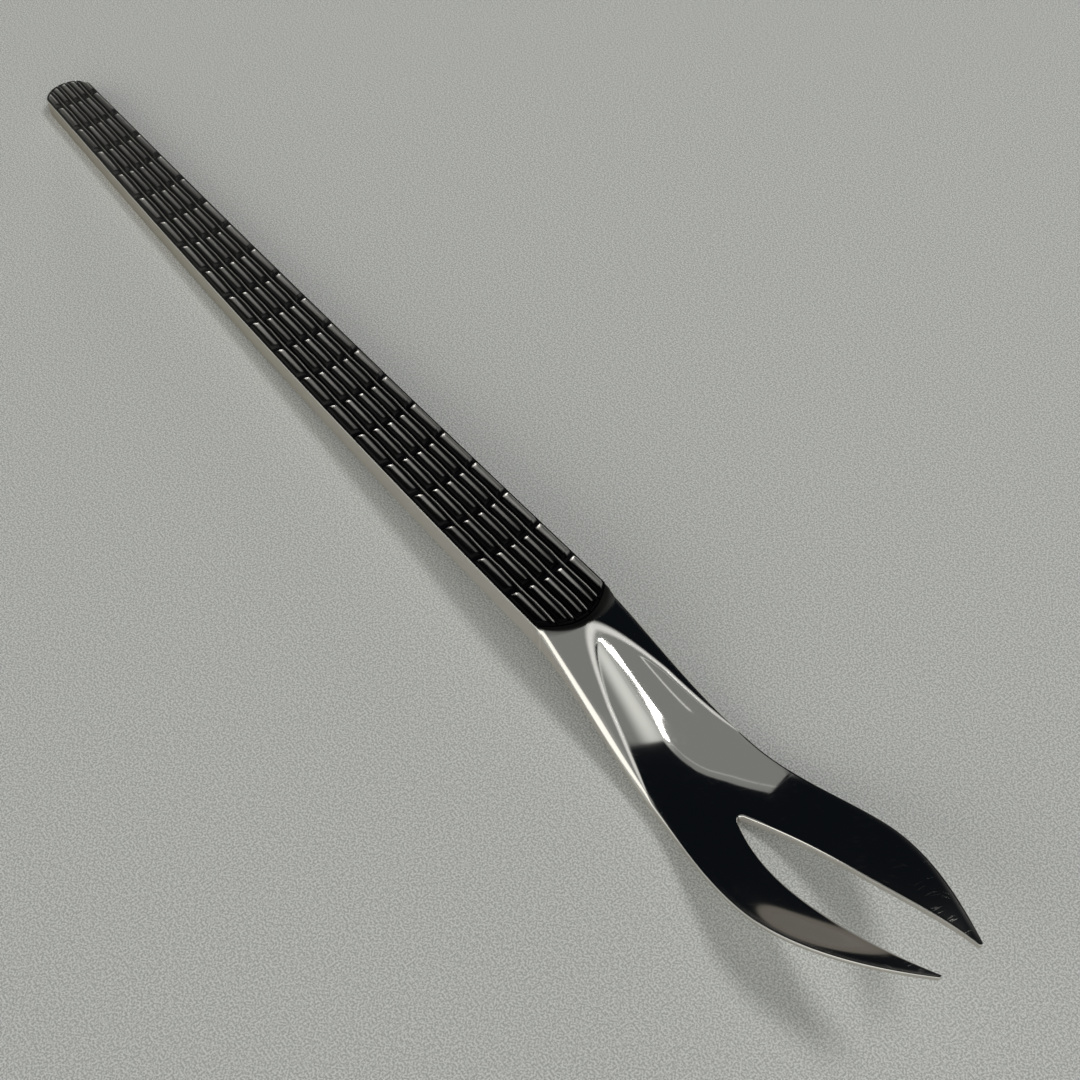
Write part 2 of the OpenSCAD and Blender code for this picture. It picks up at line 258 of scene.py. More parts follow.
# The struck panel: five rows of round-backed pads between thin ribs
panel = {
    "lanes": 5,
    "pitch": 5.24,
    "firstPad": 4.2,
    "padHeight": 0.45,
    "padGap": 0.4,
    "padEnd": 0.75,         # length over which a pad's end rounds off, towards the butt
    "padTail": 0.45,        # the same towards the neck
    "ribWidth": 0.24,
    "ribHeight": 0.36,
    "ribShoulder": 0.8,     # height of a rib's sides, as a share of its crest
    "grooveWidth": 0.16,
    "sideMargin": 0.12,
    "buttMargin": 0.45,
    "columnRadius": 11.0,
    "tongue": 2.0,
    "step": 0.9,
    "padPoints": 16,        # points across a pad, an even count
    "endPoints": 8,         # points along a pad's rounded end
    "backPower": 3.0,       # 2 is a round back, more is flatter
    "endPower": 2.4,
    "tailPower": 1.8,
    "endSpacing": 1.5,      # more sets the points closer at the foot of an end
    # outside a bare streak along its crest a pad is black: painted shade, standing for the dark room
    # mirrored in the metal
    "streakPlace": (0.42, 0.0),     # middle of the bare streak at the neck, on the near and the far lane
    "streakWidth": (1.1, 0.42),     # half its width at the butt and at the neck, as a share of half the pad
    "streakSpread": 0.6,            # less narrows it sooner after the butt
    "streakCore": 0.4,              # share of the streak that is fully bare
    "streakTaper": 0.55,            # how much narrower it gets towards the tail
    "crestShade": (0.64, 0.0),      # painted shade left on the streak, at the butt and at the neck
    # painted shade left on a rib's crest, at the butt and at the neck
    "ribShade": (0.4, 0.0),
    "ribBare": (0.75, 0.98),        # heights between which a rib's black gives way to metal
    "tailBare": (0.93, 1.0),        # the same for a pad's back and tail
    "endBare": (0.5, 0.8),          # and for its end
    "crestScatter": 0.35,           # how unevenly bare the pads' streaks are
    "crestHighlight": 0.4,               # painted highlight: how far the bare streak is turned to plain white
    "crestFade": 0.45,              # painted shade: how much darker the streak gets towards the tail
    "buttGrey": 0.06,               # how grey the black is at the butt
    "endSatin": (1.0, 0.75),        # how satin its end is, at the butt and at the neck
    "bareFlank": 0.85,              # how much of the painted shade is left off the outer flank on the far side
    "endScatter": 0.07,     # how unevenly the punch was set, in mm
    "heightScatter": 0.05,
    "ribSway": 0.035,
    "seed": 7,
}


def padColumns():
    count = round((handleEnd - panel["firstPad"]) / panel["pitch"])
    return [0.0] + [panel["firstPad"] + k * panel["pitch"] for k in range(count)] + [handleEnd]


# every point across the panel: its place, its lane, how high it stands at a crest and on a rib,
# and its place across its pad, from -1 to 1
def acrossPanel(w):
    lanes, rib, rim = panel["lanes"], panel["ribWidth"], edgeRound(0.0)
    places, lane, crest, ribs, across = [], [], [], [], []
    turns = np.linspace(0, math.pi, panel["padPoints"])
    for i in range(lanes):
        left = -w + 2 * w * i / lanes + (rim if i == 0 else rib / 2)
        right = -w + 2 * w * (i + 1) / lanes - (rim if i == lanes - 1 else rib / 2)
        outer = panel["sideMargin"] - rim
        padLeft = left + (outer if i == 0 else panel["grooveWidth"])
        padRight = right - (outer if i == lanes - 1 else panel["grooveWidth"])
        back = np.maximum(0, 1 - np.abs(np.cos(turns)) ** panel["backPower"]) ** 0.5
        places += [left, *blend(padLeft, padRight, (1 - np.cos(turns)) / 2), right]
        crest += [0, *back, 0]
        ribs += [0] * (panel["padPoints"] + 2)
        lane += [i] * (panel["padPoints"] + 2)
        across += [-1, *-np.cos(turns), 1]
        if i < lanes - 1:
            middle = -w + 2 * w * (i + 1) / lanes
            places += [middle - rib / 4, middle, middle + rib / 4]
            crest += [0, 0, 0]
            ribs += [panel["ribShoulder"], 1, panel["ribShoulder"]]
            lane += [i + 0.5] * 3
            across += [0, 0, 0]
    return [np.array(column) for column in (places, lane, crest, ribs, across)]


def buttEdge(s):
    return handle["buttRound"] * (1 - np.sqrt(np.maximum(0, 1 - s * s)))


def panelEnd(s):
    return handleEnd + panel["tongue"] * (1 - s * s)


def columnArc(x, s):
    return (1 - s * s) * halfWidth(x) ** 2 / (2 * panel["columnRadius"])


# rows of points over the panel: x, y, z, black (oxide and painted shade), satin and white of the painted
# highlight
def panelRows():
    draw = np.random.default_rng(panel["seed"])
    starts = padColumns()
    columns = len(starts) - 1
    lanes = panel["lanes"]
    gap = panel["padGap"] / 2
    shift = draw.uniform(-1, 1, (columns + 1, lanes)) * panel["endScatter"]
    shift[[0, -1]] = 0
    tall = 1 - draw.uniform(0, 1, (columns, lanes)) * panel["heightScatter"]
    sway = draw.uniform(0, 2 * math.pi, lanes)
    wear = 1 - draw.uniform(0, 1, (columns, lanes)) * panel["crestScatter"]
    ends = np.sin(np.linspace(0, math.pi / 2, panel["endPoints"])) ** panel["endSpacing"]
    rows = []

    def addRow(reference, placed, pads, ribs, n=None, tail=0.0, bare=panel["tailBare"], satin=1.0):
        w = float(halfWidth(reference))
        y, lane, crest, rib, across = acrossPanel(w)
        inLane = np.floor(lane).astype(int)
        swing = panel["ribSway"] * np.sin(2 * math.pi * reference / panel["pitch"] + sway[inLane])
        y = y + np.where(rib > 0, swing, 0)
        x = placed(y / w, lane)
        heights, bareAmount = (1, 1) if n is None else (tall[n, inLane], wear[n, inLane])
        lift = crest * pads * panel["padHeight"] * heights + rib * ribs * panel["ribHeight"]
        bed = handleCrest(x) - panel["padHeight"]
        along = share(x, 0, handleEnd)
        middle = blend(*panel["streakPlace"], lane / (lanes - 1)) * along
        width = blend(*panel["streakWidth"], along ** panel["streakSpread"])
        width = width * (1 - panel["streakTaper"] * tail * along)
        bareAmount = bareAmount * ease(share(pads, *bare)) * (1 - panel["crestFade"] * tail)
        streak = ease(share(np.abs(across - middle), width, width * panel["streakCore"])) * bareAmount
        onRib = ease(share(rib * ribs, *panel["ribBare"])) * (1 - blend(*panel["ribShade"], along))
        bareShare = np.where(rib > 0, onRib, streak * (1 - blend(*panel["crestShade"], along)))
        farFlank = (lane == lanes - 1) & (across > 0)
        flank = panel["bareFlank"] * farFlank * pads * along**2
        # black: oxide low in the hollows, and painted shade over the pads and ribs outside their bare
        # streaks
        black = (1 - bareShare) * (1 - flank) * (1 - panel["buttGrey"] * (1 - along))
        rows.append((x, y, bed + lift, black, np.full_like(x, satin), panel["crestHighlight"] * bareShare))

    def laneShift(n, lane):
        low = np.floor(lane).astype(int)
        high = np.ceil(lane).astype(int)
        return (shift[n, low] + shift[n, high]) / 2

    addRow(handle["buttRound"], lambda s, lane: buttEdge(s) + edgeRound(0.0), 0, 0)
    for n in range(columns):
        def padStart(s, lane, n=n):
            if n == 0:
                return buttEdge(s) + panel["buttMargin"]
            return starts[n] + columnArc(starts[n], s) + gap + laneShift(n, lane)

        def padStop(s, lane, n=n):
            if n == columns - 1:
                return panelEnd(s) - gap
            return starts[n + 1] + columnArc(starts[n + 1], s) - gap + laneShift(n + 1, lane)

        first = n == 0
        last = n == columns - 1
        for t in ends:
            rise = (1 - (1 - t) ** panel["endPower"]) ** 0.5
            addRow(
                max(starts[n], handle["buttRound"]),
                lambda s, lane, t=t: padStart(s, lane) + panel["padEnd"] * t,
                rise, rise if first else 1, n, 0.0, panel["endBare"],
                blend(*panel["endSatin"], starts[n] / handleEnd),
            )
        for t in (1 / 3, 2 / 3):
            addRow(
                blend(starts[n], starts[n + 1], t),
                lambda s, lane, t=t: blend(
                    padStart(s, lane) + panel["padEnd"], padStop(s, lane) - panel["padTail"], t),
                1, 1, n, t,
            )
        for t in ends[::-1]:
            rise = (1 - (1 - t) ** panel["tailPower"]) ** 0.5
            addRow(
                starts[n + 1],
                lambda s, lane, t=t: padStop(s, lane) - panel["padTail"] * t,
                rise, rise if last else 1, n, 1.0,
            )
    addRow(handleEnd, lambda s, lane: panelEnd(s), 0, 0)
    return rows


# The neck and the tines share the panel's count of points across, set closer along the crease and the edges
blade = {
    "creasePoints": 25,
    "insideSpread": 0.35,   # how much closer the points stand towards the crease
    "outsideSpread": 0.5,   # the same beyond it, at the crease and at the edge
    "leastCrease": 0.3,
    "greatestCrease": 0.93,
    "headCrease": 0.62,
    "rootFlat": 0.05,
    "turnEnd": 1.2,         # so far past the flute's point the rows have turned straight across
    "stepRows": 9,
    "closeRows": 0.11,      # spacing round the flute's point, in mm
    "closeRun": 6.0,
    "neckRows": 0.28,
    "rootRows": 11,
    "tineRows": 80,
    "tineSpread": 0.5,      # how much closer the rows stand towards the tips
    "stepShade": (0.93, 0.72),   # painted shade: how black the hollow step is at its foot and at its brow
    "stepShadeRun": 0.9,
    "browPower": 4,         # more keeps the step black closer to its brow
    "hollowPower": 1.1,     # more makes the step hollower
    "stepSkew": 0.35,       # the step is longer on the far side
    "creaseSatin": 0.45,
    "creaseHighlight": (1.0, 0.9),       # painted highlight: how far the creases are turned to plain white, at the flute's point and after it
    "creaseHighlightRun": 6.0,
    "creaseHighlightFrom": (0.35, 0.9),  # where across a crease that white begins and where it is full
    "edgeSatin": 0.4,
    "edgeSatinWidth": 0.35,
    "headEdgeSatin": 0.4,           # share of it that the head keeps
    "stepSatin": 0.6,
    "stepSatinRun": 1.3,
}


def creaseShare(x):
    k = facetSlope(x)
    q = fluteCurvature(x)
    rise = neckEdge(x) + k * halfWidth(x) - fluteBottom(x)
    y = (np.sqrt(np.maximum(0, k * k + 2 * q * rise)) - k) / q
    onNeck = np.clip(y / halfWidth(x), blade["leastCrease"], blade["greatestCrease"])
    onHead = blend(blade["greatestCrease"], blade["headCrease"], ease(share(x, facetEnd, slotRoot)))
    return np.where(x < flutePoint, blade["leastCrease"], np.where(x < facetEnd, onNeck, onHead))


# distances from the middle line for one half of the points, from the slot or the middle outwards
def halfPlaces(x, count):
    inner = blade["rootFlat"]
    grown = float(edgeRound(x))
    if x > slotRoot - grown:
        inner = max(inner, float(halfSlot(x, grown)))
    outer = float(halfWidth(x)) - grown
    crease = blend(inner, outer, float(creaseShare(x)))
    inside = np.linspace(0, 1, blade["creasePoints"])
    inside = blend(inside, np.sin(inside * math.pi / 2), blade["insideSpread"])
    outside = np.linspace(0, 1, count - blade["creasePoints"] + 1)[1:]
    outside = blend(outside, (1 - np.cos(outside * math.pi)) / 2, blade["outsideSpread"])
    return np.concatenate([blend(inner, crease, inside), blend(crease, outer, outside)])


def neckRow(x, count):
    stepEnd = handleEnd + panel["step"]
    turn = float(share(x, stepEnd, flutePoint + blade["turnEnd"]))
    w = float(halfWidth(x))
    half = halfPlaces(x, count // 2)
    y = np.concatenate([-half[::-1], half])
    rounding = edgeRound(x) - edgeRound(0.0)
    fromPanel = acrossPanel(w)[0] * (1 - rounding / w)
    y = blend(fromPanel, y, ease(turn))
    s = y / w
    at = x + (1 - turn) ** 2 * (panel["tongue"] * (1 - s * s) + blade["stepSkew"] * s)
    z, crease = neckTop(at, y)
    # painted shade of the hollow step runs on a little past its brow
    black = np.full(count, blade["stepShade"][1] * (1 - share(x, stepEnd, stepEnd + blade["stepShadeRun"])))
    atEdge = np.clip(1 - (np.abs(y).max() - np.abs(y)) / blade["edgeSatinWidth"], 0, 1)
    atEdge = atEdge * blend(1, blade["headEdgeSatin"], share(x, facetEnd, slotRoot))
    atStep = 1 - ease(share(x, stepEnd, stepEnd + blade["stepSatinRun"]))
    satin = np.maximum(blade["creaseSatin"] * crease**2, blade["edgeSatin"] * atEdge)
    fromPoint = share(x, flutePoint, flutePoint + blade["creaseHighlightRun"])
    # painted highlight: the creases turn partly to plain white
    mattHighlight = ease(share(crease, *blade["creaseHighlightFrom"])) * blend(*blade["creaseHighlight"], fromPoint)
    return at, y, z, black, np.maximum(satin, blade["stepSatin"] * atStep), mattHighlight


# the hollow step between the panel's floor and the neck, blackened with painted shade
def stepRows(count):
    rows = []
    x, y, z = neckRow(handleEnd + panel["step"], count)[:3]
    w = float(halfWidth(handleEnd))
    low = acrossPanel(w)[0]
    start = panelEnd(low / w)
    bed = handleCrest(start) - panel["padHeight"]
    for t in np.linspace(0, 1, blade["stepRows"] + 2)[1:-1]:
        stepShade = np.full(count, blend(*blade["stepShade"], t ** blade["browPower"]))
        rise = blend(bed, z, ease(t) ** blade["hollowPower"])
        rows.append((blend(start, x, t), blend(low, y, t), rise, stepShade, np.ones(count), np.zeros(count)))
    return rows


def bladeStations():
    grown = float(edgeRound(slotRoot))
    split = slotRoot - grown
    start = handleEnd + panel["step"]
    close = np.arange(start, flutePoint + blade["closeRun"], blade["closeRows"])
    wide = np.linspace(close[-1], split, int((split - close[-1]) / blade["neckRows"]))[1:]
    radius = head["rootRadius"] + grown
    turns = np.linspace(0, math.pi / 2 - math.radians(head["slotFlare"]), blade["rootRows"])[1:]
    root = slotRoot + head["rootRadius"] - radius * np.cos(turns)
    along = np.linspace(0, 1, blade["tineRows"] + 1)[1:]
    end = tip - head["tipRound"]
    tines = blend(root[-1], end, blend(along, np.sin(along * math.pi / 2), blade["tineSpread"]))
    return np.concatenate([close, wide]), np.concatenate([root, tines])


# the wall round the outline: a rounded upper edge, a plain side and a rounded lower edge
wall = {
    "roundPoints": 6,
    "bevelFlat": 0.6,           # how flat the bevel of the neck is
    "bevelAngle": 47.0,
    "bevelLimits": (0.35, 1.3),     # least and greatest fall of the bevel for its width
    "tiltLimit": 0.8,
    "lowerRound": 0.45,
    "sideShares": (0.08, 0.5, 0.92),
    "edgeSatin": (0.35, 0.15),   # on the neck and on the head
    "sideSatin": (0.8, 0.5),
    "underSatin": 0.2,
    # share of warm brown, a painted reflection of the table and its shade, on the rounded edges and on the
    # sides
    "edgeTableShade": 0.12,
    "sideTableShade": (1.0, 0.6),  # at the butt and from the shoulder on
}


def outlineOf(rows, count, splitRow):
    half = count // 2
    last = rows - 1
    loop = [(0, j, 1, j) for j in range(count)]
    loop += [(i, count - 1, i, count - 2) for i in range(1, last)]
    loop += [(last, j, last - 1, j) for j in range(count - 1, half - 1, -1)]
    loop += [(i, half, i, half + 1) for i in range(last - 1, splitRow - 1, -1)]
    loop += [(i, half - 1, i, half - 2) for i in range(splitRow, last)]
    loop += [(last, j, last - 1, j) for j in range(half - 1, -1, -1)]
    loop += [(i, 0, i, 1) for i in range(last - 1, 0, -1)]
    return np.array(loop)


def wallRings(top, low, loop):
    edge = top[loop[:, 0], loop[:, 1]]
    inner = top[loop[:, 2], loop[:, 3]]
    under = low[loop[:, 0], loop[:, 1]]
    ahead = np.roll(edge[:, :2], -1, 0) - np.roll(edge[:, :2], 1, 0)
    ahead /= np.linalg.norm(ahead, axis=1)[:, None]
    outward = np.stack([-ahead[:, 1], ahead[:, 0]], -1)
    r = edgeRound(edge[:, 0])[:, None]
    apart = np.maximum(np.linalg.norm(edge[:, :2] - inner[:, :2], axis=1), tiny)
    tilt = np.clip((edge[:, 2] - inner[:, 2]) / apart, -wall["tiltLimit"], wall["tiltLimit"])
    side = edge[:, :2] + r * outward
    onBlade = share(edge[:, 0], handleEnd + panel["step"], handleEnd + 2 * panel["step"])
    topThere = neckTop(side[:, 0], side[:, 1])[0]
    corner = np.column_stack([side, blend(edge[:, 2] + tilt * r[:, 0], topThere, onBlade)])
    floorZ = underside(side[:, 0], side[:, 1])
    heel = np.column_stack([side, floorZ])
    drop = np.column_stack([np.zeros_like(side), r])
    bevelEnd = share(edge[:, 0], slotRoot, handleEnd + neck["facetRun"])
    bevel = (share(edge[:, 0], handleEnd, handleEnd + neck["roundRun"]) * ease(bevelEnd))[:, None]
    fall = np.clip(slope(wall["bevelAngle"]) + tilt, *wall["bevelLimits"])[:, None]
    upperEnd = corner - drop * blend(1, fall, bevel)
    lowerEnd = heel + drop * wall["lowerRound"]
    rings = []
    for t in np.linspace(0, 1, wall["roundPoints"] + 1)[1:]:
        turned = (1 - t) ** 2 * edge + 2 * t * (1 - t) * corner + t * t * upperEnd
        rings.append(blend(turned, blend(edge, upperEnd, t), wall["bevelFlat"] * bevel))
    for t in wall["sideShares"]:
        rings.append(blend(upperEnd, lowerEnd, t))
    for t in np.linspace(0, 1, wall["roundPoints"] + 1)[:-1]:
        rings.append((1 - t) ** 2 * lowerEnd + 2 * t * (1 - t) * heel + t * t * under)
    return rings


def gridFaces(index, skipColumn, skipFrom, turned):
    a, b = index[:-1, :-1], index[:-1, 1:]
    c, d = index[1:, 1:], index[1:, :-1]
    keep = np.ones(a.shape, bool)
    keep[skipFrom:, skipColumn] = False
    order = (a, d, c, b) if turned else (a, b, c, d)
    return np.stack([q[keep] for q in order], -1)


def meshOf(name, points, faces):
    mesh = bpy.data.meshes.new(name)
    mesh.vertices.add(len(points))
    mesh.vertices.foreach_set("co", points.astype(np.float32).ravel())
    mesh.loops.add(faces.size)
    mesh.loops.foreach_set("vertex_index", faces.astype(np.int32).ravel())
    mesh.polygons.add(len(faces))
    mesh.polygons.foreach_set("loop_start", np.arange(0, faces.size, faces.shape[1], dtype=np.int32))
    mesh.polygons.foreach_set("use_smooth", np.ones(len(faces), bool))
    mesh.update(calc_edges=True)
    mesh.validate()
    return mesh


def makeBlank():
    rows = panelRows()
    count = len(rows[0][0])
    rows += stepRows(count)
    neckAt, tinesAt = bladeStations()
    rows += [neckRow(x, count) for x in neckAt]
    splitRow = len(rows) - 1
    rows += [neckRow(x, count) for x in tinesAt]
    top = np.stack([np.stack(row[:3], -1) for row in rows])
    black, satin, mattHighlight = (np.stack([row[k] for row in rows]) for k in (3, 4, 5))
    low = top.copy()
    low[..., 2] = underside(top[..., 0], top[..., 1])
    size = top.shape[0] * count
    loop = outlineOf(len(rows), count, splitRow)
    rings = wallRings(top, low, loop)
    topIndex = np.arange(size).reshape(-1, count)
    lowIndex = topIndex + size
    ringIndex = [topIndex[loop[:, 0], loop[:, 1]]]
    for k in range(len(rings)):
        ringIndex.append(2 * size + k * len(loop) + np.arange(len(loop)))
    ringIndex.append(lowIndex[loop[:, 0], loop[:, 1]])
    ringIndex = np.stack(ringIndex)
    ringIndex = np.concatenate([ringIndex, ringIndex[:, :1]], 1)
    half = count // 2
    faces = np.concatenate([
        gridFaces(topIndex, half - 1, splitRow, True),
        gridFaces(lowIndex, half - 1, splitRow, False),
        gridFaces(ringIndex, 0, len(ringIndex), False),
    ])
    points = np.concatenate([top.reshape(-1, 3), low.reshape(-1, 3), *rings])
    points[:, 0] -= tip / 2
    mesh = meshOf("fork", points * mm, faces)
    rim = slice(2 * size, 2 * size + wall["roundPoints"] * len(loop))
    onHead = share(points[:, 0], facetEnd - tip / 2, slotRoot - tip / 2)
    # the sides' painted reflection and shade lessen from the butt to the shoulder
    worn = share(points[:, 0], -tip / 2, handleEnd - tip / 2)
    paints = {name: np.zeros(len(points)) for name in ("oxideAndShade", "mattHighlight")}
    paints["satin"] = blend(*wall["sideSatin"], onHead)
    paints["tableShade"] = blend(*wall["sideTableShade"], worn)
    paints["oxideAndShade"][:size] = black.ravel()
    paints["mattHighlight"][:size] = mattHighlight.ravel()
    paints["satin"][:size] = satin.ravel()
    paints["satin"][size:2 * size] = wall["underSatin"]
    paints["satin"][rim] = blend(*wall["edgeSatin"], onHead[rim])
    paints["tableShade"][:2 * size] = 0
    paints["tableShade"][rim] = wall["edgeTableShade"]
    for name, values in paints.items():
        mesh.attributes.new(name, "FLOAT", "POINT").data.foreach_set("value", values.astype(np.float32))
    fork = bpy.data.objects.new("fork", mesh)
    bpy.context.scene.collection.objects.link(fork)
    return fork


fork = makeBlank()
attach(fork, "root")
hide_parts("fork_blank")
print("fork made:", len(fork.data.polygons), "faces")


# Shader helpers
def addNode(tree, kind, inputs=None, **settings):
    made = tree.nodes.new(kind)
    for name, value in settings.items():
        setattr(made, name, value)
    for name, value in (inputs or {}).items():
        if isinstance(value, bpy.types.NodeSocket):
            tree.links.new(value, made.inputs[name])
        else:
            made.inputs[name].default_value = value
    return made


def mathNode(tree, operation, a, b=0.0):
    return addNode(tree, "ShaderNodeMath", {0: a, 1: b}, operation=operation).outputs[0]


def ramp(tree, value, low, high, toLow=0.0, toHigh=1.0):
    made = addNode(tree, "ShaderNodeMapRange", {0: value, 1: low, 2: high, 3: toLow, 4: toHigh})
    made.interpolation_type = "SMOOTHSTEP"
    return made.outputs[0]


def mixColour(tree, factor, a, b):
    made = addNode(tree, "ShaderNodeMix", {0: factor, 6: a, 7: b}, data_type="RGBA")
    return made.outputs[2]


# Hairlines: sparse fine scratches left by use, in a few directions
hairlines = {
    "directions": (-52.0, -75.0, -12.0),    # degrees
    "along": 0.22,                          # per mm
    "across": 8.0,                          # per mm
    "half": 0.1,                            # half length and half width, as shares of the spacing
    "shift": 0.37,                          # m between the patterns of the directions
    "clouds": 0.22,                         # per mm
    "cloudDetail": 3.0,
    "cloudFrom": (0.3, 0.7),
}


def makeHairlines():
    group = bpy.data.node_groups.new("hairlines", "ShaderNodeTree")
    face = group.interface
    face.new_socket("Amount", in_out="INPUT", socket_type="NodeSocketFloat").default_value = 0.5
    face.new_socket("Fineness", in_out="INPUT", socket_type="NodeSocketFloat").default_value = 1.0
    face.new_socket("Lines", in_out="OUTPUT", socket_type="NodeSocketFloat")
    face.new_socket("Cloud", in_out="OUTPUT", socket_type="NodeSocketFloat")
    given = addNode(group, "NodeGroupInput")
    place = addNode(group, "ShaderNodeTexCoord").outputs["Object"]
    scale = given.outputs["Fineness"]
    fine = addNode(group, "ShaderNodeVectorMath", {0: place, "Scale": scale}, operation="SCALE").outputs[0]
    total = None
    for k, degrees in enumerate(hairlines["directions"]):
        turn = (0, 0, math.radians(degrees))
        shift = (k * hairlines["shift"], 0, 0)
        turned = addNode(group, "ShaderNodeMapping", {"Vector": fine, "Rotation": turn, "Location": shift})
        stretch = (hairlines["along"] / mm, hairlines["across"] / mm, 0)
        stretched = addNode(
            group, "ShaderNodeVectorMath", {0: turned.outputs[0], 1: stretch}, operation="MULTIPLY")
        cells = addNode(
            group, "ShaderNodeTexVoronoi",
            {"Vector": stretched.outputs[0], "Scale": 1.0}, voronoi_dimensions="2D")
        chance = addNode(group, "ShaderNodeSeparateColor", {0: cells.outputs["Color"]}).outputs[0]
        chosen = mathNode(group, "LESS_THAN", chance, given.outputs["Amount"])
        dash = ramp(group, cells.outputs["Distance"], hairlines["half"], hairlines["half"] / 2)
        line = mathNode(group, "MULTIPLY", dash, chosen)
        total = line if total is None else mathNode(group, "MAXIMUM", total, line)
    cloud = addNode(
        group, "ShaderNodeTexNoise",
        {"Vector": fine, "Scale": hairlines["clouds"] / mm, "Detail": hairlines["cloudDetail"]})
    soft = ramp(group, cloud.outputs["Fac"], *hairlines["cloudFrom"])
    out = addNode(group, "NodeGroupOutput")
    group.links.new(total, out.inputs["Lines"])
    group.links.new(soft, out.inputs["Cloud"])
    return group


hairlineGroup = makeHairlines()

# Polished metal of the fork, black where the panel is sunk, with painted shade, reflection and highlights
polish = {
    "colour": (0.94, 0.93, 0.9, 1),
    # warm brown painted on the sides: the table mirrored there and its shade
    "tableShadeColour": (0.47, 0.43, 0.36, 1),
    "oxideAndShadeColour": (0.004, 0.004, 0.005, 1),
    "roughness": 0.06,
    "scratchedRoughness": 0.17,
    "satinRoughness": 0.52,
    "scratches": 0.1,
    "fineness": 1.0,
    "scratchDepth": 0.0002,     # mm
    "scratchStrength": 0.6,
}


def newMaterial(name):
    made = bpy.data.materials.new(name)
    made.use_nodes = True
    tree = made.node_tree
    tree.nodes.clear()
    shader = addNode(tree, "ShaderNodeBsdfPrincipled")
    out = addNode(tree, "ShaderNodeOutputMaterial")
    tree.links.new(shader.outputs[0], out.inputs[0])
    return made, tree, shader


def makePolish():
    made, tree, shader = newMaterial("polishedMetal")
    wear = addNode(tree, "ShaderNodeGroup", node_tree=hairlineGroup)
    wear.inputs["Amount"].default_value = polish["scratches"]
    wear.inputs["Fineness"].default_value = polish["fineness"]
    lines = wear.outputs["Lines"]
    paints = ("oxideAndShade", "satin", "tableShade", "mattHighlight")      # painted on the fork's points
    oxideAndShade, satin, tableShade, mattHighlight = (
        addNode(tree, "ShaderNodeAttribute", attribute_name=name).outputs["Fac"] for name in paints)
    bare = mixColour(tree, tableShade, polish["colour"], polish["tableShadeColour"])
    # black of the panel and the hollow step: oxide in the hollows and painted shade
    colour = mixColour(tree, oxideAndShade, bare, polish["oxideAndShadeColour"])
    scratched = ramp(tree, lines, 0.0, 1.0, polish["roughness"], polish["scratchedRoughness"])
    rough = addNode(tree, "ShaderNodeMix", {0: satin, 2: scratched, 3: polish["satinRoughness"]})
    depth, strength = polish["scratchDepth"] * mm, polish["scratchStrength"]
    bump = addNode(
        tree, "ShaderNodeBump", {"Height": lines, "Distance": depth, "Strength": strength}, invert=True)
    # painted highlight: where this mask is set the metal gives way to plain white, so creases and crests
    # show bright
    tree.links.new(mathNode(tree, "SUBTRACT", 1.0, mattHighlight), shader.inputs["Metallic"])
    tree.links.new(colour, shader.inputs["Base Color"])
    tree.links.new(rough.outputs[0], shader.inputs["Roughness"])
    tree.links.new(bump.outputs[0], shader.inputs["Normal"])
    return made


fork.data.materials.append(makePolish())

# Black filling in the sunk lanes
filling = {
    "colour": (0.002, 0.002, 0.003, 1),
    "worn": (0.005, 0.005, 0.006, 1),
    "greyAtButt": (0.032, 0.033, 0.031, 1),   # towards the butt
    "greyAtButtFrom": (0.0, -0.075),          # m
    "roughness": 0.4,
    "wornRoughness": 0.6,
    "fineness": 1.0,                    # of the cloudy wear
    "gloss": 0.1,
}


def makeFilling():
    made, tree, shader = newMaterial("blackFilling")
    wear = addNode(tree, "ShaderNodeGroup", node_tree=hairlineGroup)
    wear.inputs["Fineness"].default_value = filling["fineness"]
    place = addNode(tree, "ShaderNodeTexCoord").outputs["Object"]
    along = addNode(tree, "ShaderNodeSeparateXYZ", {0: place}).outputs[0]
    towardsButt = ramp(tree, along, *filling["greyAtButtFrom"])
    black = mixColour(tree, wear.outputs["Cloud"], filling["colour"], filling["worn"])
    tree.links.new(mixColour(tree, towardsButt, black, filling["greyAtButt"]), shader.inputs["Base Color"])
    rough = ramp(tree, wear.outputs["Cloud"], 0.0, 1.0, filling["roughness"], filling["wornRoughness"])
    tree.links.new(rough, shader.inputs["Roughness"])
    shader.inputs["Specular IOR Level"].default_value = filling["gloss"]
    return made


fillingMaterial = makeFilling()
for name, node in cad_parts.items():
    if name.startswith("groove_fill"):
        node.data.materials.clear()
        node.data.materials.append(fillingMaterial)
print("metal and filling finished")

# Plain pale floor
floor = {
    "colour": (0.79, 0.803, 0.792, 1),
    "dark": (0.467, 0.48, 0.469, 1),
    "mirrored": (0.161, 0.147, 0.133, 1),    # painted shade: its far part, darker and warmer, as seen in the polished metal
    "mirroredFrom": (0.07, 0.11),          # m
    "grain": 6.0,       # per mm
    "grainDetail": 1.0,
    "grainFrom": (0.35, 0.65),
    "radius": 1.2,      # m
    "sides": 64,
    "roughness": 0.8,
}


